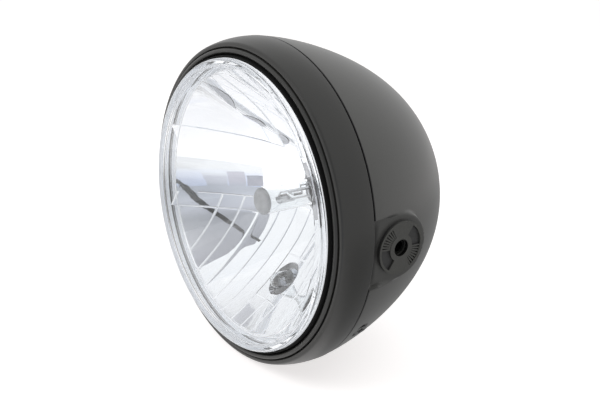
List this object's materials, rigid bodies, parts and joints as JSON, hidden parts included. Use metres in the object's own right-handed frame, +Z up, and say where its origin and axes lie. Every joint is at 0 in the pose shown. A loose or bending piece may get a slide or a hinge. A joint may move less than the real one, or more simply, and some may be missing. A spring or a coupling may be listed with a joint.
{
  "type": "round motorcycle headlight",
  "caption": "Round side-mounted motorcycle headlight with a painted bowl, a wide trim rim, clear glass, a faceted reflector, a headlamp bulb and a position light.",
  "frame": {"origin": "on the lamp's axis, halfway between the front of the glass and the back of the cable grommet", "axes": "-Y the way the lamp shines, +Y out of the back, +Z up, +X through side_mount_right, which is on the right of someone who faces the lamp"},
  "size_m": [0.194, 0.1362, 0.194],
  "materials": {
    "bucket_paint": "satin dark grey-black stoved paint on sheet steel",
    "rim_paint": "matt black stoved paint on sheet steel",
    "lens_glass": "clear pressed glass",
    "black_rubber": "matt black rubber",
    "reflector_mirror": "aluminised and lacquered moulding",
    "spring_steel": "bright spring steel",
    "disc_black": "matt black coated casting",
    "zinc_steel": "zinc-plated steel",
    "screw_black": "black-coated steel",
    "bulb_glass": "clear glass",
    "bulb_metal": "bright pressed metal",
    "terminal_tin": "tinned brass",
    "tungsten": "drawn tungsten wire",
    "holder_plastic": "black moulded plastic"
  },
  "bodies": {
    "root": {"bucket": "bucket_paint", "rim": "rim_paint", "lens": "lens_glass", "lens_gasket": "black_rubber", "reflector": "reflector_mirror", "retainer_clips": "spring_steel", "side_disc_left": "disc_black", "side_disc_right": "disc_black", "weld_nut_left": "zinc_steel", "weld_nut_right": "zinc_steel", "rim_screws": "screw_black", "rim_lugs": "zinc_steel", "rim_screw_nuts": "zinc_steel", "rim_hook": "zinc_steel", "hook_catch": "bucket_paint", "cable_grommet": "black_rubber", "bulb_glass": "bulb_glass", "bulb_base": "bulb_metal", "bulb_terminals": "terminal_tin", "bulb_shield": "bulb_metal", "bulb_filaments": "tungsten", "filament_supports": "bulb_metal", "bulb_clip": "spring_steel", "bulb_boot": "black_rubber", "position_bulb": "bulb_glass", "position_filament": "tungsten", "position_holder": "holder_plastic"}
  },
  "joints": []
}
